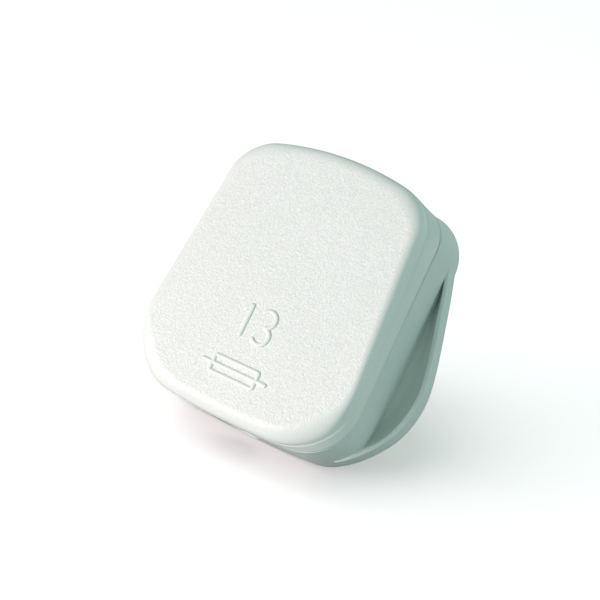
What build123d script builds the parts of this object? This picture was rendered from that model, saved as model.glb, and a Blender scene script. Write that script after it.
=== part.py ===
from build123d import *
from math import acos, atan2, degrees, hypot
import os

# sizes are in millimetres, first in the plug's own frame: +X right and +Y to the earth pin
# as seen from the cover, +Z out of the cover, z = 0 on the pin face

# pins, as the British standard for the 13 A plug gives them
pin_side = 11.11            # live and neutral from the middle
pin_rise = 22.23            # earth pin above the line of the other two
line_y = -12.3
earth_y = line_y + pin_rise
blade = (6.35, 4.0)
blade_len = 17.7
earth_blade = (4.0, 7.95)
earth_len = 22.73
blade_round = 0.4
tip_cut = 1.3               # height and depth of the bevel round a pin's tip
tip_in = 0.8
sleeve_len = 9.3
sleeve_wall = 0.55
sleeve_top = 1.0

# heights
floor_t = 3.0
ledge_z = 4.6               # top of the flange, and the body's lower edge over the hollows
part_z = 12.5               # parting plane
step_z = 14.7               # soft step round the cover
face_z = 17.3
face_t = 2.0

# outlines: low end, high end, half widths low and high, corner radii, bows of the two ends
base_line = (-24.4, 23.3, 20.8, 20.2, 9.0, 8.6, 1.5, 2.6)
ledge_line = (-24.3, 22.9, 20.4, 20.2, 9.0, 7.6, 1.5, 3.7)
part_line = (-24.05, 22.4, 20.37, 20.08, 9.0, 5.95, 1.5, 4.75)
step_line = (-23.95, 22.3, 20.5, 18.2, 10.5, 8.0, 1.5, 3.3)
face_line = (-23.8, 22.2, 20.6, 16.8, 12.5, 7.8, 1.5, 2.8)
inner_line = (-22.3, 20.4, 18.2, 16.4, 7.0, 6.5, 1.3, 2.2)
cover_inner = (-21.0, 19.4, 17.2, 14.6, 6.4, 6.0, 1.2, 2.1)

# moulding
seam = 0.18
gap = 0.1                   # clearance of parts that slide together
edge_r = 0.9
face_r = 2.0
lip_t = 1.0
lip_h = 1.6
rib_t = 1.1
rib_top = 8.0
fit_gap = 0.15              # room round parts that are dropped in
bite = 0.3                  # how far a rib or wall runs into what it stands on

# finger grips: a bulged flange on each side, hollowed between its rim and the body's wall
wing = [(16.9, -22.15), (20.7, -18.85), (23.35, -15.2), (25.2, -8.5), (24.3, -1.2), (22.35, 6.6),
        (19.6, 16.2)]
rim_t = 0.7
rim_r = 0.35
hollow_in = 0.15            # how far the hollow runs in under the body's edge
hollow_ends = (-18.3, 12.6)
hollow_steps = ((ledge_z, 1.0), (3.5, 0.84), (2.5, 0.62), (1.8, 0.34))   # height and share of the width

# cover screw in its insert
screw_r = 2.0
screw_head_r = 3.4
screw_head_h = 2.1
head_seat = 2.7
screw_y = -0.6
boss_r = 4.0
boss_top = 10.4
washer_t = 0.6
insert_r = 3.0
insert_len = 4.2
insert_wall = 1.3
screw_short = 0.4           # thread left under the roof of the insert
head_round = 0.4

# fuse
fuse_r = 3.175
fuse_len = 25.4
cap_len = 5.6
cap_wall = 0.35
cap_end = 0.5
bore_r = 1.7
clip_t = 0.5
clip_len = 4.6
clip_foot = 2.8
clip_in = 0.5               # from the fuse's end to its clip
fuse_x = 12.0
head_t = 1.6                # shoulder of the live pin over the floor
head_half = (4.2, 3.3)
fuse_z = floor_t + head_t + clip_t + fuse_r
load_end = 12.7             # the fuse's end by the live terminal stays here
pin_end = load_end - fuse_len
clip_y = load_end - clip_in - clip_len / 2
pin_clip_y = pin_end + clip_in + clip_len / 2
cap_round = 0.3

# terminals and cord grip
term_top = 9.3
term_x = 3.6
neutral_y = 3.1             # half lengths of the terminal blocks
earth_half = 4.3
live_y = 2.4
live_in = 4.0               # live block from the fuse's line, inwards and outwards
live_out = 1.8
live_gap = 0.8
term_y = clip_y + clip_len / 2 + live_gap + live_y
term_bevel = 0.5
term_screw_r = 1.5
term_head_r = 2.3
term_head_h = 1.5
wire_r = 1.5
wire_z = 6.3
wire_up = 0.7               # the live block's hole is this much higher
screw_in = 1.2              # end of a terminal screw over the wire's middle
live_screw_in = 2.0
slot_w = 0.8
slot_d = 0.7
outlet_r = 4.3
outlet_z = 7.9
tongue_z = outlet_z + 2.0
collar_t = 2.0
collar_y = -21.2
outer_y = base_line[0] - 1.0
grip_y = -18.5
grip_x = 7.4
grip_post_r = 2.9
grip_z = 8.3
grip_t = 2.0
grip_cut = 0.3              # the bar is this much narrower than its posts on each side
grip_hole_z = floor_t + 1.2
grip_head_r = 2.5
saddle = (3.6, 0.7, 0.8)    # ridge under the cord: half length, half width, height
press = (3.4, 0.9, 0.8)     # ridge of the bar over the cord


def outline(y_low, y_high, half_low, half_high, r_low, r_high, bow_low, bow_high, inset=0.0):
    """Plug outline: bowed ends, straight tapering sides, rounded corners."""
    y_low, y_high = y_low + inset, y_high - inset
    half_low, half_high = half_low - inset, half_high - inset
    low, high = y_low + bow_low, y_high - bow_high
    face = make_face([
        ThreePointArc((-half_low, low), (0, y_low), (half_low, low)),
        Line((half_low, low), (half_high, high)),
        ThreePointArc((half_high, high), (0, y_high), (-half_high, high)),
        Line((-half_high, high), (-half_low, low)),
    ])
    face = fillet(face.vertices().sort_by(Axis.Y)[:2], r_low - inset)
    return fillet(face.vertices().sort_by(Axis.Y)[-2:], r_high - inset)


def level(sketch, z):
    """The face of a sketch, lifted to z."""
    return (Pos(0, 0, z) * sketch).face()


def prism(sketch, z0, z1):
    """Sketch extruded from z0 up to z1."""
    return extrude(Pos(0, 0, z0) * sketch, z1 - z0)


def box(x0, x1, y0, y1, z0, z1):
    """Box between two corners."""
    return Pos((x0 + x1) / 2, (y0 + y1) / 2, (z0 + z1) / 2) * Box(x1 - x0, y1 - y0, z1 - z0)


def post(x, y, z0, z1, r):
    """Upright cylinder."""
    return Pos(x, y, (z0 + z1) / 2) * Cylinder(r, z1 - z0)


def bar_y(x, z, y0, y1, r):
    """Cylinder along Y."""
    return Pos(x, (y0 + y1) / 2, z) * Rot(90, 0, 0) * Cylinder(r, y1 - y0)


def screw(x, y, z_end, z_seat, r, head_r, head_h, up=1):
    """Slotted cheese-head screw with its head on z_seat and its end at z_end."""
    z_top = z_seat + up * head_h
    low, high = sorted((z_seat, z_top))
    shank = post(x, y, min(z_end, z_seat), max(z_end, z_seat), r)
    head = post(x, y, low, high, head_r)
    rims = head.edges().filter_by(GeomType.CIRCLE).sort_by(Axis.Z)
    head = fillet(rims[-1 if up > 0 else 0], head_round)
    z0, z1 = sorted((z_top, z_top - up * slot_d))
    return head + shank - box(x - head_r, x + head_r, y - slot_w / 2, y + slot_w / 2, z0, z1)


def pin_section(size, grow=0.0):
    return RectangleRounded(size[0] + 2 * grow, size[1] + 2 * grow, blade_round)


def blade_solid(x, y, size, length, sleeved):
    """Pin blade from its tip up through the floor, waisted where a sleeve goes."""
    pin = prism(Pos(x, y) * pin_section(size), tip_cut - length, floor_t)
    pin += Pos(x, y) * loft([level(pin_section(size), tip_cut - length),
                             level(pin_section(size, -tip_in), -length)], ruled=True)
    if sleeved:
        pin -= sleeve(x, y)
    return pin


def sleeve(x, y):
    """Insulating sleeve, flush with the blade."""
    ring = Pos(x, y) * (pin_section(blade) - pin_section(blade, -sleeve_wall))
    return prism(ring, -sleeve_len, sleeve_top)


def wall(*sections):
    """Solid between outlines at rising heights, straight from each to the next."""
    faces = [level(outline(*line, inset=inset), z) for line, inset, z in sections]
    steps = [loft([low, high], ruled=True) for low, high in zip(faces, faces[1:])]
    return sum(steps[1:], steps[0])


def outer_body():
    """Base without its flanges, from the pin face to the parting plane."""
    return wall((base_line, 0, 0), (ledge_line, 0, ledge_z), (part_line, 0, part_z - seam),
                (part_line, seam, part_z))


def flange():
    """Right-hand flange, before its hollow is cut."""
    (x0, y0), (x1, y1) = wing[0], wing[-1]
    inside = boss_r
    edge = Spline(*wing, tangents=[(0.85, 0.52), (-0.3, 1)])
    plate = prism(make_face([edge, Polyline((x1, y1), (inside, y1), (inside, y0), (x0, y0))]), 0, ledge_z)
    return fillet(plate.edges().group_by(Axis.Z)[-1].sort_by(SortBy.LENGTH)[-1], rim_r)


def hollow():
    """Cutter of the right-hand finger hollow: lens outlines that shrink as they go down."""
    wall = ledge_line[3] - hollow_in
    y0, y1 = hollow_ends
    middle = (y0 + y1) / 2
    levels = []
    for z, share in hollow_steps:
        near = (1 + share) / 2
        ends = [(wall, middle + (y - middle) * near) for y in hollow_ends]
        rim = [(wall + (x - rim_t - wall) * share, middle + (y - middle) * near) for x, y in wing[2:-1]]
        edge = Spline(ends[0], *rim, ends[1], tangents=[(share, 0.7), (-0.3 * share, 1)])
        levels.append(level(make_face([edge, Line(ends[1], ends[0])]), z))
    return loft(levels)


def make_base():
    body = outer_body()
    for side in (flange(), mirror(flange(), Plane.YZ)):
        body += side
    for side in (hollow(), mirror(hollow(), Plane.YZ)):
        body -= side
    body = fillet(body.faces().sort_by(Axis.Z)[0].outer_wire().edges(), edge_r)
    body -= prism(outline(*inner_line), floor_t, part_z)
    # inside: screw boss, posts of the cord grip, collar of the outlet, terminal seats and ribs
    body += post(0, screw_y, floor_t, boss_top, boss_r)
    collar = outlet_r + collar_t
    body += box(-collar, collar, inner_line[0] - bite, collar_y, floor_t, part_z)
    rib_x = term_x + fit_gap
    for side in (-1, 1):
        body += post(side * grip_x, grip_y, floor_t, grip_z, grip_post_r)
        body -= post(side * grip_x, grip_y, grip_hole_z, grip_z, term_screw_r)
        x0, x1 = sorted((side * rib_x, side * (rib_x + rib_t)))
        body += box(x0, x1, earth_y - earth_half, earth_y + earth_half, floor_t, rib_top)
    body += box(-saddle[0], saddle[0], grip_y - saddle[1], grip_y + saddle[1], floor_t, floor_t + saddle[2])
    rib_y = line_y + neutral_y + fit_gap
    body += box(-pin_side - rib_x, -pin_side + rib_x, rib_y, rib_y + rib_t, floor_t, rib_top)
    body += box(fuse_x - live_in - fit_gap, fuse_x + clip_foot + fit_gap,
                clip_y - clip_len / 2 - fit_gap, term_y + live_y, floor_t, floor_t + head_t)
    # ways through: cord outlet, cover screw, pins
    body -= bar_y(0, outlet_z, outer_y, collar_y, outlet_r)
    body -= box(-outlet_r, outlet_r, outer_y, collar_y, outlet_z, part_z)
    body -= post(0, screw_y, 0, boss_top, screw_r + fit_gap)
    body -= post(0, screw_y, 0, head_seat, screw_head_r + 2 * fit_gap)
    for x, y, size in ((pin_side, line_y, blade), (-pin_side, line_y, blade), (0, earth_y, earth_blade)):
        body -= prism(Pos(x, y) * pin_section(size, gap / 2), 0, floor_t)
    return body


def make_cover():
    cover = wall((part_line, seam, part_z), (part_line, 0, part_z + seam), (step_line, 0, step_z),
                 (face_line, 0, face_z))
    cover = fillet(cover.faces().sort_by(Axis.Z)[-1].edges(), face_r)
    cover -= prism(outline(*cover_inner), part_z, face_z - face_t)
    # lip that drops inside the base, left out at the cord end
    lip = prism(outline(*inner_line, inset=gap), part_z - lip_h, part_z)
    lip -= prism(outline(*inner_line, inset=gap + lip_t), part_z - lip_h, part_z)
    notch = grip_x + grip_post_r + 3 * fit_gap
    cover += lip - box(-notch, notch, outer_y, grip_y, 0, part_z)
    # tongue that closes the outlet from above
    tongue = outer_body() & box(gap - outlet_r, outlet_r - gap, outer_y, collar_y, tongue_z, part_z)
    cover += tongue - bar_y(0, outlet_z, outer_y, collar_y, outlet_r)
    # boss round the insert
    seat = boss_top + washer_t
    cover += post(0, screw_y, seat, face_z - face_t, insert_r + insert_wall)
    return cover - post(0, screw_y, seat, seat + insert_len, insert_r)


def terminal(x0, x1, y0, y1, z0, along_y=True):
    """Brass block with a cross hole for the wire and a tapped hole from above."""
    block = box(x0, x1, y0, y1, z0, term_top)
    block = chamfer(block.edges().filter_by(Axis.Z), term_bevel)
    x, y = (x0 + x1) / 2, (y0 + y1) / 2
    if along_y:
        block -= bar_y(x, wire_z, y0, y1, wire_r)
    else:
        block -= Pos(x, y, wire_z + wire_up) * Rot(0, 90, 0) * Cylinder(wire_r, x1 - x0)
    return block - post(x, y, wire_z, term_top, term_screw_r)


def fuse_clip(y_mid, foot_to):
    """Sprung clip: a ring open at the top on a flat foot."""
    arc = CenterArc((0, 0), fuse_r + clip_t / 2, -225, 270)
    ring = extrude(Plane.XZ * trace(arc, clip_t), clip_len / 2, both=True)
    y0, y1 = y_mid - clip_len / 2, foot_to
    z0 = floor_t + head_t
    foot = box(fuse_x - clip_foot, fuse_x + clip_foot, y0, y1, z0, z0 + clip_t)
    return Pos(fuse_x, y_mid, fuse_z) * ring + foot - bar_y(fuse_x, fuse_z, y0 - 1, y1 + 1, fuse_r)


def fuse_cap(side):
    end_y = load_end if side > 0 else pin_end
    y0, y1 = sorted((end_y, end_y - side * cap_len))
    cap = bar_y(fuse_x, fuse_z, y0, y1, fuse_r)
    end = cap.edges().filter_by(GeomType.CIRCLE).sort_by(Axis.Y)[-1 if side > 0 else 0]
    cap = fillet(end, cap_round)
    i0, i1 = sorted((end_y - side * cap_end, end_y - side * cap_len))
    return cap - bar_y(fuse_x, fuse_z, i0, i1, fuse_r - cap_wall)


def make_grip_bar():
    plate = SlotOverall(2 * (grip_x + grip_post_r), 2 * (grip_post_r - grip_cut))
    bar = prism(Pos(0, grip_y) * plate, grip_z, grip_z + grip_t)
    bar += box(-press[0], press[0], grip_y - press[1], grip_y + press[1], grip_z - press[2], grip_z)
    for side in (-1, 1):
        bar -= post(side * grip_x, grip_y, grip_z, grip_z + grip_t, term_screw_r + fit_gap)
    return bar


def build():
    seat = boss_top + washer_t
    parts = {
        "base_moulding": make_base(),
        "cover_moulding": make_cover(),
        "live_pin": blade_solid(pin_side, line_y, blade, blade_len, True)
        + box(pin_side - head_half[0], pin_side + head_half[0],
              line_y - head_half[1], line_y + head_half[1], floor_t, floor_t + head_t),
        "neutral_pin": blade_solid(-pin_side, line_y, blade, blade_len, True)
        + terminal(-pin_side - term_x, -pin_side + term_x,
                   line_y - neutral_y, line_y + neutral_y, floor_t),
        "earth_pin": blade_solid(0, earth_y, earth_blade, earth_len, False)
        + terminal(-term_x, term_x, earth_y - earth_half, earth_y + earth_half, floor_t),
        "live_pin_sleeve": sleeve(pin_side, line_y),
        "neutral_pin_sleeve": sleeve(-pin_side, line_y),
        "fuse_tube": bar_y(fuse_x, fuse_z, pin_end + cap_end, load_end - cap_end, fuse_r - cap_wall)
        - bar_y(fuse_x, fuse_z, pin_end, load_end, bore_r),
        "fuse_cap_pin_end": fuse_cap(-1),
        "fuse_cap_load_end": fuse_cap(1),
        "fuse_clip_pin_end": fuse_clip(pin_clip_y, pin_clip_y + clip_len / 2),
        "fuse_clip_load_end": fuse_clip(clip_y, term_y + live_y - fit_gap),
        "live_terminal": terminal(fuse_x - live_in, fuse_x + live_out, term_y - live_y, term_y + live_y,
                                  floor_t + head_t + clip_t, along_y=False),
        "live_terminal_screw": screw(fuse_x + (live_out - live_in) / 2, term_y,
                                     wire_z + live_screw_in, term_top,
                                     term_screw_r, term_head_r, term_head_h),
        "neutral_terminal_screw": screw(-pin_side, line_y, wire_z + screw_in, term_top,
                                        term_screw_r, term_head_r, term_head_h),
        "earth_terminal_screw": screw(0, earth_y, wire_z + screw_in, term_top,
                                      term_screw_r, term_head_r, term_head_h),
        "cord_grip_bar": make_grip_bar(),
        "cover_screw": screw(0, screw_y, seat + insert_len - screw_short, head_seat, screw_r,
                             screw_head_r, screw_head_h, up=-1),
        "captive_washer": post(0, screw_y, boss_top, seat, insert_r + washer_t)
        - post(0, screw_y, boss_top, seat, screw_r + gap / 2),
        "cover_insert": post(0, screw_y, seat, seat + insert_len, insert_r)
        - post(0, screw_y, seat, seat + insert_len - screw_short, screw_r),
    }
    for name, side in (("cord_grip_screw_left", -1), ("cord_grip_screw_right", 1)):
        parts[name] = screw(side * grip_x, grip_y, grip_hole_z, grip_z + grip_t, term_screw_r,
                            grip_head_r, term_head_h)
    return parts


def rest_tilt():
    """Tilt at which the plug lies on the cord-end edge of its base and on two pin tips."""
    dy = line_y - blade[1] / 2 - (base_line[0] + edge_r)
    dz = blade_len - tip_cut + edge_r
    return degrees(acos(edge_r / hypot(dy, dz)) - atan2(dy, dz))


parts = build()
tilt = Rot(rest_tilt(), 0, 0)
laid = {name: tilt * shape for name, shape in parts.items()}
whole = Compound(children=[shape for shape in laid.values()]).bounding_box()
move = Pos(-whole.center().X, -whole.center().Y, -whole.min.Z)
os.makedirs("parts", exist_ok=True)
for name, shape in laid.items():
    solid = (move * shape).solid()
    print(name, len((move * shape).solids()), round(solid.volume, 2), solid.is_valid)
    export_step(solid, f"parts/{name}.step")
print("tilt", rest_tilt(), "size", whole.size)
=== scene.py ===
import math
import bpy
import numpy as np
from mathutils import Matrix, Vector


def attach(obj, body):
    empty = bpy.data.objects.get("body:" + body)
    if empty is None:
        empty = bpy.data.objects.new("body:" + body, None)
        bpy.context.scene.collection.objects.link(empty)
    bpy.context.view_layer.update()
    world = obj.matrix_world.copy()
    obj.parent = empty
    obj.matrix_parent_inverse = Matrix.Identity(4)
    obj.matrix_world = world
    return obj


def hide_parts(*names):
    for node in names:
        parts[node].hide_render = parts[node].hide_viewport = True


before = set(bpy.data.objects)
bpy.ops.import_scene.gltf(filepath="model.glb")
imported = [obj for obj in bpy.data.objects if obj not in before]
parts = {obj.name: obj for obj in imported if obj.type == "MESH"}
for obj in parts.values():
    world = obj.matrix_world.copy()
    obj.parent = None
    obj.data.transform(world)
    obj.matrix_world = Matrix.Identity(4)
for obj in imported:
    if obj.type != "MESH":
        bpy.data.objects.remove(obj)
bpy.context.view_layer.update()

scene = bpy.context.scene
scene.view_settings.view_transform = "Standard"  # plain white stays plain white
millimetre = 0.001

# How the plug lies. Its own frame is in millimetres: X right and Y to the earth pin as seen
# from the cover, Z out of the cover, with 0 on the pin face.
plugPose = {"tilt": 59.3637, "along": 0.048, "rise": 20.661}


# Plug millimetres to metres in the row's frame: a turn by the tilt about X, then a shift.
def laid(points):
    points = np.asarray(points, float)
    turn = math.radians(plugPose["tilt"])
    along = points[..., 1] * math.cos(turn) - points[..., 2] * math.sin(turn) + plugPose["along"]
    rise = points[..., 1] * math.sin(turn) + points[..., 2] * math.cos(turn) + plugPose["rise"]
    return np.stack([points[..., 0], along, rise], -1) * millimetre


# A mesh object at the origin that wears one finish and belongs to the white moulding.
def newPiece(name, points, faces, finish, smooth=True):
    mesh = bpy.data.meshes.new(name)
    mesh.from_pydata(laid(points).reshape(-1, 3).tolist(), [], faces)
    mesh.polygons.foreach_set("use_smooth", np.full(len(mesh.polygons), smooth))
    mesh.update()
    mesh.materials.append(finishes[finish])
    piece = bpy.data.objects.new(name, mesh)
    scene.collection.objects.link(piece)
    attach(piece, "root")
    return piece


# Quads between rings of vertex numbers, one ring in each row of the array.
def quadsBetween(rings):
    a, b = rings[:-1], rings[1:]
    return np.stack([a, b, np.roll(b, -1, 1), np.roll(a, -1, 1)], -1).reshape(-1, 4)


# Smooth rise from 0 to 1 while value goes from low to high.
def easedShare(value, low, high):
    share = np.clip((value - low) / (high - low), 0, 1)
    return share * share * (3 - 2 * share)


# The camera stands where the photograph was taken from.
cameraSetup = {
    "place": (0.0760817, -0.1557186, 0.0863649), "direction": (-0.425418, 0.834341, -0.350562),
    "roll": 12.699, "lens": 64.88, "sensor": 36.0, "nearest": 0.005, "farthest": 20.0,
}


def makeCamera(setup):
    data = bpy.data.cameras.new("camera")
    data.lens, data.sensor_width = setup["lens"], setup["sensor"]
    data.clip_start, data.clip_end = setup["nearest"], setup["farthest"]
    camera = bpy.data.objects.new("camera", data)
    turn = Vector(setup["direction"]).to_track_quat("-Z", "Y").to_matrix()
    roll = Matrix.Rotation(math.radians(setup["roll"]), 3, "Z")
    camera.matrix_world = Matrix.Translation(setup["place"]) @ (turn @ roll).to_4x4()
    scene.collection.objects.link(camera)
    bpy.context.scene.camera = camera


makeCamera(cameraSetup)
print("camera set")

# One large soft light from the left and the front, low down, and a cool room round it that is
# brighter to the right and the back and darker overhead.
lightSetup = {
    "place": (-0.46, -0.74, 0.10), "size": (0.46, 0.18), "power": 7.35, "colour": (1.0, 0.85, 0.87),
    "aim": (0.0, 0.0, 0.02), "room": (0.425, 0.57, 0.535), "lean": (0.45, 0.35, -0.40),
    "backdrop": (1.0, 1.0, 1.0),
}


# A switch that gives the first socket to light on its way round and the second to the eye.
def eyeSwitch(tree, unseen, seen, output):
    ray = tree.nodes.new("ShaderNodeLightPath")
    mix = tree.nodes.new("ShaderNodeMixShader")
    tree.links.new(ray.outputs["Is Camera Ray"], mix.inputs["Fac"])
    tree.links.new(unseen, mix.inputs[1])
    tree.links.new(seen, mix.inputs[2])
    tree.links.new(mix.outputs["Shader"], output.inputs["Surface"])


def makeLights(setup):
    data = bpy.data.lights.new("softbox", "AREA")
    data.shape = "RECTANGLE"
    data.size, data.size_y = setup["size"]
    data.energy, data.color = setup["power"], setup["colour"]
    light = bpy.data.objects.new("softbox", data)
    light.location = setup["place"]
    light.rotation_euler = (Vector(setup["aim"]) - light.location).to_track_quat("-Z", "Y").to_euler()
    scene.collection.objects.link(light)
    world = bpy.data.worlds.new("studio")
    world.use_nodes = True
    tree = world.node_tree
    room = tree.nodes["Background"]
    room.inputs["Color"].default_value = (*setup["room"], 1.0)
    # the room's strength is 1 plus the dot product of the direction and the lean
    direction = tree.nodes.new("ShaderNodeTexCoord")
    lean = tree.nodes.new("ShaderNodeVectorMath")
    lean.operation = "DOT_PRODUCT"
    lean.inputs[1].default_value = setup["lean"]
    tree.links.new(direction.outputs["Generated"], lean.inputs[0])
    strength = tree.nodes.new("ShaderNodeMath")
    strength.operation = "ADD"
    strength.inputs[1].default_value = 1.0
    tree.links.new(lean.outputs["Value"], strength.inputs[0])
    tree.links.new(strength.outputs["Value"], room.inputs["Strength"])
    backdrop = tree.nodes.new("ShaderNodeBackground")
    backdrop.inputs["Color"].default_value = (*setup["backdrop"], 1.0)
    eyeSwitch(tree, room.outputs["Background"], backdrop.outputs["Background"], tree.nodes["World Output"])
    scene.world = world


makeLights(lightSetup)
print("light set")

# White paper under a broad light of its own, so that it stays white to its far edge and takes a
# small soft shadow. Light that bounces off it is held back, so that the underside stays soft.
floorSetup = {
    "half": 6.0, "paper": (0.93, 0.83, 0.845), "bounce": (0.40, 0.41, 0.41), "glow": 0.27,
    "rough": 0.95,
    "sun": 1.95, "sunColour": (0.90, 1.0, 0.98), "sunFrom": (-0.35, -0.50, 0.79), "sunAngle": 65.0,
}


def makeFloor(setup):
    mesh = bpy.data.meshes.new("studio_floor")
    h = setup["half"]
    mesh.from_pydata([(-h, -h, 0), (h, -h, 0), (h, h, 0), (-h, h, 0)], [], [(0, 1, 2, 3)])
    floor = bpy.data.objects.new("studio_floor", mesh)
    scene.collection.objects.link(floor)
    material = bpy.data.materials.new("floorPaper")
    material.use_nodes = True
    tree = material.node_tree
    seen = tree.nodes["Principled BSDF"]
    seen.inputs["Base Color"].default_value = (*setup["paper"], 1.0)
    seen.inputs["Roughness"].default_value = setup["rough"]
    seen.inputs["Specular IOR Level"].default_value = 0.0
    seen.inputs["Emission Color"].default_value = (1.0, 1.0, 1.0, 1.0)
    seen.inputs["Emission Strength"].default_value = setup["glow"]
    bounce = tree.nodes.new("ShaderNodeBsdfDiffuse")
    bounce.inputs["Color"].default_value = (*setup["bounce"], 1.0)
    eyeSwitch(tree, bounce.outputs["BSDF"], seen.outputs["BSDF"], tree.nodes["Material Output"])
    mesh.materials.append(material)
    data = bpy.data.lights.new("paperLight", "SUN")
    data.energy, data.color, data.angle = setup["sun"], setup["sunColour"], math.radians(setup["sunAngle"])
    light = bpy.data.objects.new("paperLight", data)
    light.rotation_euler = Vector(setup["sunFrom"]).to_track_quat("Z", "Y").to_euler()
    scene.collection.objects.link(light)
    paperOnly = bpy.data.collections.new("paperOnly")
    paperOnly.objects.link(floor)
    light.light_linking.receiver_collection = paperOnly


makeFloor(floorSetup)
print("floor set")

# The middle of a noise's range, which a ramp's colours and a spread's numbers lie over.
noiseMiddle = {"ramp": (0.35, 0.65), "spread": (0.3, 0.7)}


def startMaterial(name):
    material = bpy.data.materials.new(name)
    material.use_nodes = True
    tree = material.node_tree
    return material, tree, tree.nodes["Principled BSDF"], tree.nodes.new("ShaderNodeTexCoord")


# Noise over Object coordinates. The scale is in features to the metre.
def noiseNode(tree, place, scale, detail=2.0, rough=0.5):
    noise = tree.nodes.new("ShaderNodeTexNoise")
    noise.inputs["Scale"].default_value = scale
    noise.inputs["Detail"].default_value = detail
    noise.inputs["Roughness"].default_value = rough
    tree.links.new(place.outputs["Object"], noise.inputs["Vector"])
    return noise.outputs["Fac"]


# A colour that goes from low to high over the middle of a noise's range.
def rampNode(tree, value, low, high):
    ramp = tree.nodes.new("ShaderNodeValToRGB")
    first, last = ramp.color_ramp.elements
    first.position, last.position = noiseMiddle["ramp"]
    first.color, last.color = (*low, 1.0), (*high, 1.0)
    tree.links.new(value, ramp.inputs["Fac"])
    return ramp.outputs["Color"]


# A number that goes from low to high over the middle of a noise's range.
def rangeNode(tree, value, low, high):
    spread = tree.nodes.new("ShaderNodeMapRange")
    spread.inputs["From Min"].default_value, spread.inputs["From Max"].default_value = noiseMiddle["spread"]
    spread.inputs["To Min"].default_value, spread.inputs["To Max"].default_value = low, high
    tree.links.new(value, spread.inputs["Value"])
    return spread.outputs["Result"]


# Relief over a distance in metres. A mask holds it back and another bump lies under it, where
# they are given.
def bumpNode(tree, shader, height, distance, strength=None, after=None):
    bump = tree.nodes.new("ShaderNodeBump")
    bump.inputs["Distance"].default_value = distance
    bump.inputs["Strength"].default_value = 1.0
    if strength:
        tree.links.new(strength, bump.inputs["Strength"])
    tree.links.new(height, bump.inputs["Height"])
    if after:
        tree.links.new(after.outputs["Normal"], bump.inputs["Normal"])
    tree.links.new(bump.outputs["Normal"], shader.inputs["Normal"])
    return bump


# Urea moulding: faintly cloudy white, with a satin skin and a trace of ripple. The base's colour
# is a little darker than the cover's: painted shade for the shade on the base's walls. The face
# also has a spark-eroded grain, masked by the mesh's attribute "grain", whose pits are darkened
# as painted shade and whose crests are lighter, partly wear and partly painted highlight.
whitePlastic = {
    "light": (0.835, 0.885, 0.855), "shade": (0.82, 0.873, 0.842), "cloud": 90.0,
    # painted shade: the base's two colours are darkened a little below the cover's
    "paintedShadeBaseHigh": (0.745, 0.815, 0.785), "paintedShadeBaseLow": (0.73, 0.803, 0.772),
    "rough": (0.36, 0.46), "roughPatch": 700.0, "ripple": 450.0, "rippleDepth": 0.000004,
    # pit darkens the grain's pits as painted shade; crest lightens its crests, partly wear and partly
    # painted highlight
    "grain": 3000.0, "grainDepth": 0.0001, "grainRough": 0.55, "pitPaintedShade": 0.915, "crestWearAndHighlight": 1.075,
    "cloudDetail": 3.0, "rippleDetail": 1.0, "grainDetail": 2.0,
}


def mouldedWhite(name, setup, grained, light="light", shade="shade"):
    material, tree, shader, place = startMaterial(name)
    cloud = noiseNode(tree, place, setup["cloud"], setup["cloudDetail"])
    colour = rampNode(tree, cloud, setup[shade], setup[light])
    patches = noiseNode(tree, place, setup["roughPatch"])
    tree.links.new(rangeNode(tree, patches, *setup["rough"]), shader.inputs["Roughness"])
    waves = noiseNode(tree, place, setup["ripple"], setup["rippleDetail"])
    ripple = bumpNode(tree, shader, waves, setup["rippleDepth"])
    if grained:
        mask = tree.nodes.new("ShaderNodeAttribute")
        mask.attribute_name = "grain"
        grain = noiseNode(tree, place, setup["grain"], setup["grainDetail"], setup["grainRough"])
        bumpNode(tree, shader, grain, setup["grainDepth"], mask.outputs["Fac"], ripple)
        # painted shade in the grain's pits, and lighter crests that are partly wear and partly painted
        # highlight
        grainShadeAndHighlight = tree.nodes.new("ShaderNodeMix")
        grainShadeAndHighlight.data_type, grainShadeAndHighlight.blend_type = "RGBA", "MULTIPLY"
        tree.links.new(mask.outputs["Fac"], grainShadeAndHighlight.inputs["Factor"])
        tree.links.new(colour, grainShadeAndHighlight.inputs["A"])
        tree.links.new(rangeNode(tree, grain, setup["pitPaintedShade"], setup["crestWearAndHighlight"]), grainShadeAndHighlight.inputs["B"])
        colour = grainShadeAndHighlight.outputs["Result"]
    tree.links.new(colour, shader.inputs["Base Color"])
    return material


metalFinishes = {
    "pinBrass": {
        "light": (0.88, 0.72, 0.42), "shade": (0.85, 0.68, 0.38), "rough": (0.20, 0.28), "grain": 900.0},
    "terminalBrass": {
        "light": (0.84, 0.67, 0.36), "shade": (0.79, 0.61, 0.31), "rough": (0.28, 0.38), "grain": 700.0},
    "springBronze": {
        "light": (0.74, 0.48, 0.30), "shade": (0.68, 0.42, 0.25), "rough": (0.26, 0.36), "grain": 800.0},
    "platedSteel": {
        "light": (0.74, 0.75, 0.76), "shade": (0.68, 0.69, 0.71), "rough": (0.24, 0.36), "grain": 1100.0},
    "platedCap": {
        "light": (0.78, 0.78, 0.77), "shade": (0.66, 0.66, 0.66), "rough": (0.18, 0.30), "grain": 900.0},
}
plainFinishes = {
    "sleeveBlack": {
        "light": (0.03, 0.03, 0.032), "shade": (0.018, 0.018, 0.02), "rough": (0.42, 0.56), "grain": 1500.0},
    "fuseCeramic": {
        "light": (0.86, 0.83, 0.76), "shade": (0.80, 0.76, 0.69), "rough": (0.22, 0.34), "grain": 600.0},
    "gripPlastic": {
        "light": (0.84, 0.86, 0.84), "shade": (0.79, 0.81, 0.79), "rough": (0.38, 0.50), "grain": 900.0},
    "washerFibre": {
        "light": (0.42, 0.24, 0.15), "shade": (0.32, 0.17, 0.10), "rough": (0.70, 0.86), "grain": 2600.0},
}


# Fine tooling grain in roughness and relief, and broader patches of colour. A patch is that many
# times as large as a feature of the grain, and the depth is in metres.
tooling = {"detail": 3.0, "rough": 0.6, "patch": 5.0, "depth": 0.000012}


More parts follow.
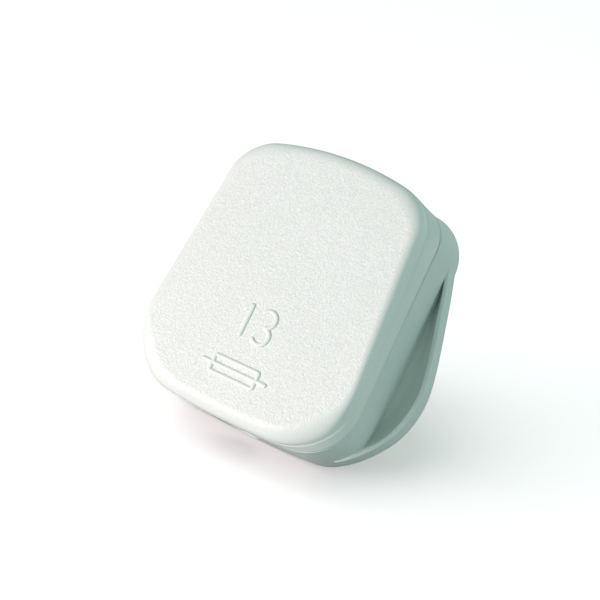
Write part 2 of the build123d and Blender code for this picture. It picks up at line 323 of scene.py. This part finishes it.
def finishMaterial(name, setup, metallic):
    material, tree, shader, place = startMaterial(name)
    shader.inputs["Metallic"].default_value = metallic
    fine = noiseNode(tree, place, setup["grain"], tooling["detail"], tooling["rough"])
    broad = noiseNode(tree, place, setup["grain"] / tooling["patch"])
    tree.links.new(rampNode(tree, broad, setup["shade"], setup["light"]), shader.inputs["Base Color"])
    tree.links.new(rangeNode(tree, fine, *setup["rough"]), shader.inputs["Roughness"])
    bumpNode(tree, shader, fine, tooling["depth"])
    return material


finishes = {name: finishMaterial(name, setup, 1.0) for name, setup in metalFinishes.items()}
finishes.update({name: finishMaterial(name, setup, 0.0) for name, setup in plainFinishes.items()})
finishes["whiteMoulding"] = mouldedWhite("whiteMoulding", whitePlastic, False)
finishes["faceMoulding"] = mouldedWhite("faceMoulding", whitePlastic, True)
# the base wears the moulding with painted shade, darker than the cover's
finishes["baseMouldingPaintedShade"] = mouldedWhite("baseMouldingPaintedShade", whitePlastic, False, "paintedShadeBaseHigh", "paintedShadeBaseLow")

worn = {
    "whiteMoulding": ["cover_moulding"],
    "baseMouldingPaintedShade": ["base_moulding"],
    "pinBrass": ["live_pin", "neutral_pin", "earth_pin"],
    "sleeveBlack": ["live_pin_sleeve", "neutral_pin_sleeve"],
    "terminalBrass": ["live_terminal", "cover_insert"],
    "springBronze": ["fuse_clip_pin_end", "fuse_clip_load_end"],
    "platedCap": ["fuse_cap_pin_end", "fuse_cap_load_end"],
    "fuseCeramic": ["fuse_tube"],
    "platedSteel": ["live_terminal_screw", "neutral_terminal_screw", "earth_terminal_screw", "cover_screw",
                    "cord_grip_screw_left", "cord_grip_screw_right"],
    "gripPlastic": ["cord_grip_bar"],
    "washerFibre": ["captive_washer"],
}
for finish, names in worn.items():
    for name in names:
        parts[name].data.materials.clear()
        parts[name].data.materials.append(finishes[finish])
print("materials on the CAD parts")


# Where a side line, a bowed end and the corner between them meet. The corner's circle touches
# the side line and lies inside the end's circle, which it touches too. Gives the corner's
# centre, its two touching points, and the centre and radius of the end's circle.
def cornerArc(low, high, halfLow, halfHigh, bow, radius, top):
    sign = -1.0 if top else 1.0
    a = np.array([halfLow, low])
    b = np.array([halfHigh, high])
    along = (b - a) / np.linalg.norm(b - a)
    inward = np.array([-along[1], along[0]])
    half, level = (halfHigh, high) if top else (halfLow, low)
    bigRadius = (half ** 2 + bow ** 2) / (2 * bow)  # circle through the bow's two ends and its top
    middle = np.array([0.0, level - sign * bow + sign * bigRadius])
    start = a + inward * radius - middle
    p = start @ along  # the corner's centre is start + t along, bigRadius - radius from the middle
    q = start @ start - (bigRadius - radius) ** 2
    t = -p + (1 if top else -1) * math.sqrt(p * p - q)
    centre = middle + start + t * along
    out = (centre - middle) / np.linalg.norm(centre - middle)
    return centre, centre - inward * radius, middle + out * bigRadius, middle, bigRadius


# Points on a circle from one point of it to another, the short way round.
def arcPoints(centre, radius, start, end, share):
    a0 = math.atan2(start[1] - centre[1], start[0] - centre[0])
    a1 = math.atan2(end[1] - centre[1], end[0] - centre[0])
    a1 = a0 + (a1 - a0 + math.pi) % (2 * math.pi) - math.pi  # less than half a circle away
    angle = a0 + (a1 - a0) * share
    return np.stack([centre[0] + radius * np.cos(angle), centre[1] + radius * np.sin(angle)], -1)


outlineSteps = 400  # points on each of the five stretches of half an outline


# Closed outline, 4 quarter points from the middle of the cord end to the right. Each half runs
# bowed end, round corner, straight side, round corner, bowed end, and the left half mirrors the
# right. The corners' middles fall on points quarter / 2 and 3 quarter / 2.
def plugOutline(sizes, inset, quarter):
    low, high, halfLow, halfHigh, radiusLow, radiusHigh, bowLow, bowHigh = sizes
    low, high, halfLow, halfHigh = low + inset, high - inset, halfLow - inset, halfHigh - inset
    span = (low + bowLow, high - bowHigh, halfLow, halfHigh)
    c0, side0, end0, m0, r0 = cornerArc(*span, bowLow, radiusLow - inset, False)
    c1, side1, end1, m1, r1 = cornerArc(*span, bowHigh, radiusHigh - inset, True)
    fine = np.linspace(0, 1, outlineSteps)
    line = np.concatenate([
        arcPoints(m0, r0, (0, low), end0, fine),
        arcPoints(c0, radiusLow - inset, end0, side0, fine),
        side0 + (side1 - side0) * fine[:, None],
        arcPoints(c1, radiusHigh - inset, side1, end1, fine),
        arcPoints(m1, r1, end1, (0, high), fine),
    ])
    length = np.concatenate([[0], np.cumsum(np.linalg.norm(np.diff(line, axis=0), axis=1))])
    corners = length[outlineSteps * 3 // 2], length[outlineSteps * 7 // 2]  # at their middles
    marks = [0, *corners, length[-1]]
    counts = [quarter // 2, quarter, quarter // 2]
    runs = [np.linspace(marks[k], marks[k + 1], counts[k], endpoint=False) for k in range(3)]
    places = np.concatenate(runs + [[length[-1]]])
    right = np.stack([np.interp(places, length, line[:, 0]), np.interp(places, length, line[:, 1])], -1)
    left = right[1:-1][::-1] * np.array([-1, 1])
    return np.concatenate([right, left])


# Outlines are low end, high end, half widths low and high, corner radii low and high, bows of
# the two ends. Levels are heights over the pin face. The grain ends where the sine of the angle
# on the round edge is grainEnd. RidgeMiddle and ridgeLow are shares of stepIn, and coveReach is
# one of cove.
coverSizes = {
    "quarter": 176,
    "part": (-24.05, 22.4, 20.37, 20.08, 9.0, 5.95, 1.5, 4.75),
    "step": (-23.95, 22.3, 20.5, 18.2, 10.5, 8.0, 1.5, 3.3),
    "face": (-23.8, 22.2, 20.6, 16.8, 12.5, 7.8, 1.5, 2.8),
    "lip": (-22.3, 20.4, 18.2, 16.4, 7.0, 6.5, 1.3, 2.2),
    "cavity": (-21.0, 19.4, 17.2, 14.6, 6.4, 6.0, 1.2, 2.1),
    "partLevel": 12.5, "stepLevel": 14.7, "faceLevel": 17.3, "roofLevel": 15.3,
    "sideRound": 1.0, "endRound": 2.25, "roundRise": 0.8, "endFrom": 13.0, "endTo": 20.0,
    "border": 0.5, "grainEnd": 0.9, "seamGap": 0.26, "stepIn": 0.09,
    "ridge": 0.06, "ridgeMiddle": 0.7, "ridgeLow": 0.1, "cove": 0.3, "coveReach": 2.7,
    "borderRings": 4, "roundRings": 12, "roundFrom": 8, "highRings": 5, "lowRings": 6,
    "lipGap": 0.1, "lipWall": 1.0, "lipDrop": 1.6, "tongueFrom": -19.2, "tongueTo": -17.8,
    "screwLine": -0.6, "bossRadius": 4.3, "insertRadius": 3.0, "bossLevel": 11.0, "insertTop": 15.2,
}


# A ring of points: an outline at one level, or at a level for each of its points.
def ringAt(outline, level):
    return np.concatenate([outline, np.broadcast_to(level, len(outline))[:, None]], 1)


# An outline inset by a size of its own at each point: in a straight line between the outlines
# inset by the least and by the most of the sizes.
def insetOutline(sizes, inset, quarter):
    inset = np.broadcast_to(inset, 4 * quarter)
    least, most = float(inset.min()), float(inset.max())
    near = plugOutline(sizes, least, quarter)
    if most == least:
        return near
    share = ((inset - least) / (most - least))[:, None]
    return near * (1 - share) + plugOutline(sizes, most, quarter) * share


# A ring on the cover's wall: the outline at a level lies in a straight line between the outlines
# of the parting plane, the step and the face.
def wallRing(c, level, inset):
    q = c["quarter"]
    level = np.broadcast_to(level, 4 * q)
    low = np.clip((level - c["partLevel"]) / (c["stepLevel"] - c["partLevel"]), 0, 1)[:, None]
    high = np.clip((level - c["stepLevel"]) / (c["faceLevel"] - c["stepLevel"]), 0, 1)[:, None]
    outline = insetOutline(c["part"], inset, q) * (1 - low) + insetOutline(c["step"], inset, q) * low
    return ringAt(outline * (1 - high) + insetOutline(c["face"], inset, q) * high, level)


# Square grid laid inside a closed ring: a grid point at distance m of the middle lies on the
# ring shrunk m times, at the same share of the way round as on the square. The way is counted in
# the ring's points: 0 in the middle of the low side, then quarter, 2 quarter and 3 quarter.
def facePatch(ring, quarter):
    steps = np.linspace(-1, 1, quarter + 1)
    s, t = np.meshgrid(steps, steps, indexing="xy")
    m = np.maximum(np.abs(s), np.abs(t))
    safe = np.where(m > 0, m, 1)
    a, b = s / safe, t / safe
    right = (a >= np.abs(b)) & (a > 0)
    top = (b >= np.abs(a)) & (b > 0) & ~right
    left = (a <= -np.abs(b)) & ~right & ~top
    lowWay = quarter * (4 + a / 2) % (4 * quarter)
    sideWay = np.where(top, quarter * (2 - a / 2), np.where(left, quarter * (3 - b / 2), lowWay))
    way = np.where(right, quarter * (1 + b / 2), sideWay)
    looped = np.concatenate([ring, ring[:1]])
    index = np.arange(4 * quarter + 1)
    middle = ring[:, :2].mean(0)
    x = middle[0] + (np.interp(way, index, looped[:, 0]) - middle[0]) * m
    y = middle[1] + (np.interp(way, index, looped[:, 1]) - middle[1]) * m
    return np.stack([x, y, np.full_like(x, ring[0, 2])], -1)


# Vertex numbers round the edge of the square grid, from the middle of its low side.
def gridRim(quarter):
    n = quarter + 1
    low = np.arange(0, quarter)
    rightSide = np.arange(0, quarter) * n + quarter
    topSide = quarter * n + np.arange(quarter, 0, -1)
    leftSide = np.arange(quarter, 0, -1) * n
    return np.concatenate([low[quarter // 2:], rightSide, topSide, leftSide, low[:quarter // 2]])


# The whole cover as one closed skin. A profile runs from the rim of the face over the round
# edge, which is a quarter of an ellipse, down the wall past the step, in under the parting
# plane, down and up the lip, up the hollow, over its roof, down the screw's boss and up into
# the hole for the insert. The face inside the rim is a square grid.
def makeCoverShell(c):
    q = c["quarter"]
    flatRing = plugOutline(c["face"], 0.0, q)
    ends = easedShare(np.abs(flatRing[:, 1]), c["endFrom"], c["endTo"])
    edge = c["sideRound"] + (c["endRound"] - c["sideRound"]) * ends  # radius of the round edge
    border = ringAt(insetOutline(c["face"], edge + c["border"], q), c["faceLevel"])
    rows, grain = [], []
    for share in np.linspace(1 / c["borderRings"], 1, c["borderRings"]):
        rows.append(ringAt(insetOutline(c["face"], edge + c["border"] * (1 - share), q), c["faceLevel"]))
        grain.append(1.0)
    for angle in np.radians(np.linspace(c["roundFrom"], 90, c["roundRings"])):
        drop = edge * c["roundRise"] * (1 - math.cos(angle))
        rows.append(wallRing(c, c["faceLevel"] - drop, edge * (1 - math.sin(angle))))
        grain.append(max(0.0, 1 - math.sin(angle) / c["grainEnd"]))
    ridge = c["ridge"]  # the soft ridge is this far over the step
    upper = c["faceLevel"] - edge * c["roundRise"]
    for share in np.linspace(1 / c["highRings"], 1, c["highRings"]):
        level = upper + (c["stepLevel"] + ridge - upper) * share
        rows.append(wallRing(c, level, c["stepIn"] * share))
    rows.append(wallRing(c, c["stepLevel"], c["stepIn"] * c["ridgeMiddle"]))
    rows.append(wallRing(c, c["stepLevel"] - ridge, c["stepIn"] * c["ridgeLow"]))
    partTop = c["partLevel"] + c["seamGap"]
    for level in np.linspace(c["stepLevel"] - 2 * ridge, partTop + ridge, c["lowRings"]):
        rows.append(wallRing(c, level, 0.0))
    rows.append(wallRing(c, partTop, 0.0))
    rows.append(wallRing(c, partTop, ridge))

    # the lip fades out at the cord end, where the outlet's tongue is
    lipOut = plugOutline(c["lip"], c["lipGap"], q)
    lipIn = plugOutline(c["lip"], c["lipGap"] + c["lipWall"], q)
    drop = c["lipDrop"] * easedShare(lipOut[:, 1], c["tongueFrom"], c["tongueTo"])
    cavity = plugOutline(c["cavity"], 0.0, q)
    rows.append(ringAt(lipOut, partTop))
    rows.append(ringAt(lipOut, c["partLevel"] - drop))
    rows.append(ringAt(lipIn, c["partLevel"] - drop))
    rows.append(ringAt(lipIn, c["partLevel"]))
    mouth = np.where(np.abs(cavity) < np.abs(lipIn), cavity, lipIn)  # never outside the lip
    rows.append(ringAt(mouth, c["partLevel"]))
    cove = c["cove"]  # slope between the hollow's wall and its roof
    rows.append(ringAt(plugOutline(c["cavity"], cove, q), c["roofLevel"] - cove))
    rows.append(ringAt(plugOutline(c["cavity"], c["coveReach"] * cove, q), c["roofLevel"]))
    middle = np.array([0.0, c["screwLine"]])
    turn = cavity - middle
    turn /= np.linalg.norm(turn, axis=1)[:, None]
    for radius, level in (("bossRadius", "roofLevel"), ("bossRadius", "bossLevel"),
                          ("insertRadius", "bossLevel"), ("insertRadius", "insertTop")):
        rows.append(ringAt(middle + turn * c[radius], c[level]))

    patch = facePatch(border, q)
    count = (q + 1) ** 2
    number = np.arange(count).reshape(q + 1, q + 1)
    corners = [number[:-1, :-1], number[:-1, 1:], number[1:, 1:], number[1:, :-1]]
    rings = np.concatenate([[gridRim(q)], count + np.arange(len(rows) * 4 * q).reshape(-1, 4 * q)])
    quads = np.concatenate([np.stack(corners, -1).reshape(-1, 4), quadsBetween(rings)])
    points = np.concatenate([patch.reshape(-1, 3)] + rows)
    piece = newPiece("cover_shell", points, quads.tolist() + [rings[-1].tolist()], "faceMoulding")
    mask = np.zeros(len(points), np.float32)
    mask[:count] = 1.0
    mask[count:count + len(grain) * 4 * q] = np.repeat(grain, 4 * q)
    attribute = piece.data.attributes.new("grain", "FLOAT", "POINT")
    attribute.data.foreach_set("value", mask)
    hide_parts("cover_moulding")


makeCoverShell(coverSizes)
print("cover made")

tongueSizes = {
    "half": 4.2, "steps": 48, "archRadius": 4.3, "archLevel": 7.9, "footLevel": 9.9,
    "lowEnd": -24.3, "lowLevel": 4.6, "highEnd": -24.05, "highLevel": 12.7, "back": -21.2,
    "bow": 1.5, "lineHalf": 20.4, "inset": 0.03,
}


# Tongue of the cover that closes the cord outlet from above. A four-cornered section is carried
# across: its front lies on the end wall, whose bow grows with the square of the distance from
# the middle, and its lower side on the outlet's arch.
def makeTongue(c):
    x = np.linspace(-c["half"], c["half"], c["steps"])
    arch = c["archLevel"] + np.sqrt(np.clip(c["archRadius"] ** 2 - x ** 2, 0, None))
    low = np.maximum(arch, c["footLevel"])
    high = np.full_like(x, c["highLevel"])
    back = np.full_like(x, c["back"])
    bowed = c["bow"] * (x / c["lineHalf"]) ** 2 + c["inset"]

    def front(level):
        share = (level - c["lowLevel"]) / (c["highLevel"] - c["lowLevel"])
        return c["lowEnd"] + (c["highEnd"] - c["lowEnd"]) * share + bowed

    corners = [(x, front(low), low), (x, front(high), high), (x, back, high), (x, back, low)]
    section = np.stack([np.stack(corner, -1) for corner in corners], 1)
    rings = np.arange(len(x) * 4).reshape(-1, 4)
    caps = [rings[0].tolist(), rings[-1][::-1].tolist()]
    newPiece("cover_tongue", section, quadsBetween(rings).tolist() + caps, "whiteMoulding", smooth=False)


makeTongue(tongueSizes)
print("tongue made")

# Plain rating number, over the general sign for a fuse: a box with a line through it.
markSizes = {
    "stroke": 0.38, "height": 0.26, "level": 17.3, "around": 16, "spacing": 0.1, "corner": 0.35,
    "cornerSteps": 9, "arcSteps": 40, "endRings": 7, "tip": 0.0004,
    "one": [(-3.05, -6.95), (-1.95, -5.6), (-1.95, -11.15)],
    "threeTop": {"centre": (1.45, -6.98), "radius": 1.38, "from": 155, "to": -90},
    "threeLow": {"centre": (1.45, -9.79), "radius": 1.43, "from": 90, "to": -155},
    "boxHalf": 4.1, "boxRise": 1.35, "lineHalf": 6.2, "fuseY": -16.5,
}


# A path with its corners rounded: near a corner it follows the parabola between the points that
# lie one corner size before and behind it.
def roundedPath(path, size, steps):
    path = np.asarray(path, float)
    share = np.linspace(0, 1, steps)[:, None]
    runs = [path[:1]]
    for before, corner, behind in zip(path[:-2], path[1:-1], path[2:]):
        start = corner + (before - corner) * min(0.5, size / np.linalg.norm(before - corner))
        end = corner + (behind - corner) * min(0.5, size / np.linalg.norm(behind - corner))
        runs.append(start * (1 - share) ** 2 + 2 * corner * share * (1 - share) + end * share ** 2)
    return np.concatenate(runs + [path[-1:]])


def arcPath(arc, steps):
    angle = np.radians(np.linspace(arc["from"], arc["to"], steps))
    return np.array(arc["centre"]) + arc["radius"] * np.stack([np.cos(angle), np.sin(angle)], -1)


# Raised stroke: an ellipse is carried along a path on the face, half sunk in it. Near each end
# of an open path it shrinks as a quarter circle does, so that the stroke ends round. The square
# of its smallest share is tip. Its vertices are numbered from first on.
def strokeTube(path, c, first):
    closed = np.allclose(path[0], path[-1])
    length = np.concatenate([[0], np.cumsum(np.linalg.norm(np.diff(path, axis=0), axis=1))])
    nearEnd = c["stroke"] * np.linspace(0, 1, c["endRings"]) ** 2
    even = np.linspace(0, length[-1], int(length[-1] / c["spacing"]))
    places = np.unique(np.round(np.concatenate([even, nearEnd, length[-1] - nearEnd]), 5))
    places = even[:-1] if closed else places
    line = np.stack([np.interp(places, length, path[:, 0]), np.interp(places, length, path[:, 1])], -1)
    way = np.gradient(line, places, axis=0)
    way /= np.linalg.norm(way, axis=1)[:, None]
    side = np.stack([way[:, 1], -way[:, 0]], -1)  # to the right, so that the faces look outwards
    ends = np.clip(np.minimum(places, length[-1] - places) / c["stroke"], 0, 1)
    shrink = np.sqrt(np.clip(1 - (1 - ends) ** 2, 1 if closed else c["tip"], 1))[:, None]
    angle = np.linspace(0, 2 * math.pi, c["around"], endpoint=False)[None, :]
    flat = line[:, None, :] + side[:, None, :] * (c["stroke"] * np.cos(angle) * shrink)[..., None]
    rise = c["level"] + c["height"] * np.sin(angle) * shrink
    rings = first + np.arange(rise.size).reshape(rise.shape)
    caps = [] if closed else [rings[0].tolist(), rings[-1][::-1].tolist()]
    rings = np.concatenate([rings, rings[:1]]) if closed else rings
    return np.concatenate([flat, rise[..., None]], -1).reshape(-1, 3), quadsBetween(rings).tolist() + caps


def makeMark(c):
    w, h, y = c["boxHalf"], c["boxRise"], c["fuseY"]
    box = [(0, y - h), (w, y - h), (w, y + h), (-w, y + h), (-w, y - h), (0, y - h)]
    strokes = [
        roundedPath(c["one"], c["corner"], c["cornerSteps"]),
        np.concatenate([arcPath(c[half], c["arcSteps"]) for half in ("threeTop", "threeLow")]),
        roundedPath(box, c["corner"], c["cornerSteps"]),
        np.array([(-c["lineHalf"], y), (c["lineHalf"], y)]),
    ]
    points, faces = np.empty((0, 3)), []
    for path in strokes:
        more, quads = strokeTube(path, c, len(points))
        points = np.concatenate([points, more])
        faces += quads
    newPiece("rating_mark", points, faces, "whiteMoulding")


makeMark(markSizes)
print("mark made")
